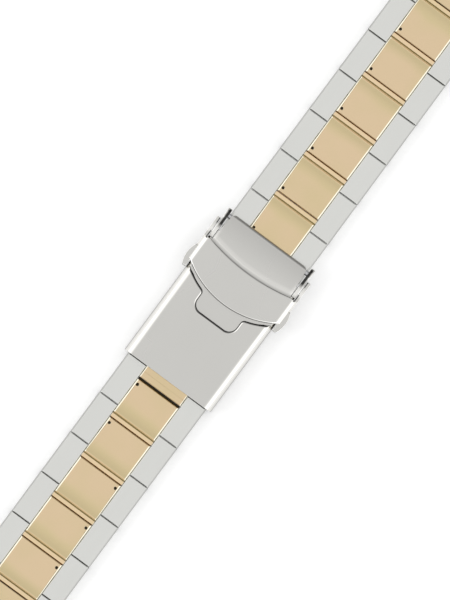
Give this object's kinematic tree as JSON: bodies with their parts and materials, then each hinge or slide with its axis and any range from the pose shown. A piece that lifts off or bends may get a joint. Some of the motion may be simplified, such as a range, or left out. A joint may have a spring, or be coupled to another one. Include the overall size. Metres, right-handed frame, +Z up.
{
  "type": "watch bracelet",
  "caption": "Two-tone steel and gilt watch bracelet with hinged three-piece links, a folding clasp with a safety flap, and sprung end bars.",
  "frame": {"origin": "centre of the bounding box on the surface that the closed bracelet lies on, flat and face up", "axes": "+X along the band from the lower half, past the clasp, to the half under the flap; +Y across the band; +Z up through the face"},
  "size_m": [0.1516, 0.0228, 0.0054],
  "materials": {
    "brushed_steel": "satin brushed",
    "clasp_steel": "satin brushed",
    "gilt": "pale gold plating, polished",
    "pin_steel": "turned"
  },
  "bodies": {
    "long_blade": {"long_blade": "clasp_steel", "catch_post": "clasp_steel"},
    "short_blade": {"short_blade": "clasp_steel", "fold_pin": "pin_steel"},
    "cover": {"cover": "clasp_steel", "lift_pin": "pin_steel", "flap_pin": "pin_steel", "catch_clip": "clasp_steel", "b0_bar": "pin_steel"},
    "flap": {"flap": "clasp_steel"},
    "b0": {"b0_outers": "brushed_steel", "b0_centre": "gilt"},
    "a0": {"a0_outers": "brushed_steel", "a0_centre": "gilt", "a0_pin": "pin_steel"},
    "a1": {"a1_outers": "brushed_steel", "a1_centre": "gilt", "a1_pin": "pin_steel"},
    "a2": {"a2_outers": "brushed_steel", "a2_centre": "gilt", "a2_pin": "pin_steel"},
    "a3": {"a3_outers": "brushed_steel", "a3_centre": "gilt", "a3_pin": "pin_steel"},
    "a4": {"a4_outers": "brushed_steel", "a4_centre": "gilt", "a4_pin": "pin_steel"},
    "a5": {"a5_outers": "brushed_steel", "a5_centre": "gilt", "a5_pin": "pin_steel"},
    "b1": {"b1_outers": "brushed_steel", "b1_centre": "gilt", "b1_pin": "pin_steel"},
    "b2": {"b2_outers": "brushed_steel", "b2_centre": "gilt", "b2_pin": "pin_steel"},
    "b3": {"b3_outers": "brushed_steel", "b3_centre": "gilt", "b3_pin": "pin_steel"},
    "b4": {"b4_outers": "brushed_steel", "b4_centre": "gilt", "b4_pin": "pin_steel"},
    "b5": {"b5_outers": "brushed_steel", "b5_centre": "gilt", "b5_pin": "pin_steel"},
    "a_end": {"a_end_link": "brushed_steel", "a_end_centre": "gilt", "a_end_pin": "pin_steel", "a_end_tube": "pin_steel", "a_end_spring": "pin_steel"},
    "a_end_tip_left": {"a_end_tip_left": "pin_steel"},
    "a_end_tip_right": {"a_end_tip_right": "pin_steel"},
    "b_end": {"b_end_link": "brushed_steel", "b_end_centre": "gilt", "b_end_pin": "pin_steel", "b_end_tube": "pin_steel", "b_end_spring": "pin_steel"},
    "b_end_tip_left": {"b_end_tip_left": "pin_steel"},
    "b_end_tip_right": {"b_end_tip_right": "pin_steel"}
  },
  "joints": [
    {"name": "unfold", "type": "hinge", "parent": "long_blade", "child": "short_blade", "pos_m": [-0.00964, 0, 0.00105], "axis": [0, -1, 0], "range_deg": [0, 165]},
    {"name": "cover_lift", "type": "hinge", "parent": "short_blade", "child": "cover", "pos_m": [0.00496, 0, 0.0023], "axis": [0, 1, 0], "range_deg": [0, 165]},
    {"name": "flap_open", "type": "hinge", "parent": "cover", "child": "flap", "pos_m": [0.01236, 0, 0.00405], "axis": [0, 1, 0], "range_deg": [0, 105]},
    {"name": "b0_swing", "type": "hinge", "parent": "cover", "child": "b0", "pos_m": [-0.01494, 0, 0.0014], "axis": [0, -1, 0], "range_deg": [-4, 12]},
    {"name": "a0_hinge", "type": "hinge", "parent": "long_blade", "child": "a0", "pos_m": [0.01106, 0, 0.0014], "axis": [0, 1, 0], "range_deg": [-2, 25]},
    {"name": "a1_hinge", "type": "hinge", "parent": "a0", "child": "a1", "pos_m": [0.02024, 0, 0.0014], "axis": [0, 1, 0], "range_deg": [-4, 25]},
    {"name": "a2_hinge", "type": "hinge", "parent": "a1", "child": "a2", "pos_m": [0.02942, 0, 0.0014], "axis": [0, 1, 0], "range_deg": [-4, 25]},
    {"name": "a3_hinge", "type": "hinge", "parent": "a2", "child": "a3", "pos_m": [0.0386, 0, 0.0014], "axis": [0, 1, 0], "range_deg": [-4, 25]},
    {"name": "a4_hinge", "type": "hinge", "parent": "a3", "child": "a4", "pos_m": [0.04778, 0, 0.0014], "axis": [0, 1, 0], "range_deg": [-4, 25]},
    {"name": "a5_hinge", "type": "hinge", "parent": "a4", "child": "a5", "pos_m": [0.05696, 0, 0.0014], "axis": [0, 1, 0], "range_deg": [-4, 25]},
    {"name": "b1_hinge", "type": "hinge", "parent": "b0", "child": "b1", "pos_m": [-0.02024, 0, 0.0014], "axis": [0, -1, 0], "range_deg": [-4, 25]},
    {"name": "b2_hinge", "type": "hinge", "parent": "b1", "child": "b2", "pos_m": [-0.02942, 0, 0.0014], "axis": [0, -1, 0], "range_deg": [-4, 25]},
    {"name": "b3_hinge", "type": "hinge", "parent": "b2", "child": "b3", "pos_m": [-0.0386, 0, 0.0014], "axis": [0, -1, 0], "range_deg": [-4, 25]},
    {"name": "b4_hinge", "type": "hinge", "parent": "b3", "child": "b4", "pos_m": [-0.04778, 0, 0.0014], "axis": [0, -1, 0], "range_deg": [-4, 25]},
    {"name": "b5_hinge", "type": "hinge", "parent": "b4", "child": "b5", "pos_m": [-0.05696, 0, 0.0014], "axis": [0, -1, 0], "range_deg": [-4, 25]},
    {"name": "a_end_hinge", "type": "hinge", "parent": "a5", "child": "a_end", "pos_m": [0.06614, 0, 0.0014], "axis": [0, 1, 0], "range_deg": [-4, 25]},
    {"name": "a_end_tip_left_slide", "type": "slide", "parent": "a_end", "child": "a_end_tip_left", "axis": [0, -1, 0], "range_m": [0, 0.0009], "stiffness_N_per_m": 200},
    {"name": "a_end_tip_right_slide", "type": "slide", "parent": "a_end", "child": "a_end_tip_right", "axis": [0, 1, 0], "range_m": [0, 0.0009], "stiffness_N_per_m": 200},
    {"name": "b_end_hinge", "type": "hinge", "parent": "b5", "child": "b_end", "pos_m": [-0.06614, 0, 0.0014], "axis": [0, -1, 0], "range_deg": [-4, 25]},
    {"name": "b_end_tip_left_slide", "type": "slide", "parent": "b_end", "child": "b_end_tip_left", "axis": [0, -1, 0], "range_m": [0, 0.0009], "stiffness_N_per_m": 200},
    {"name": "b_end_tip_right_slide", "type": "slide", "parent": "b_end", "child": "b_end_tip_right", "axis": [0, 1, 0], "range_m": [0, 0.0009], "stiffness_N_per_m": 200}
  ],
  "couplings": [
    {"joint": "cover_lift", "follows": "unfold", "ratio": 1}
  ]
}
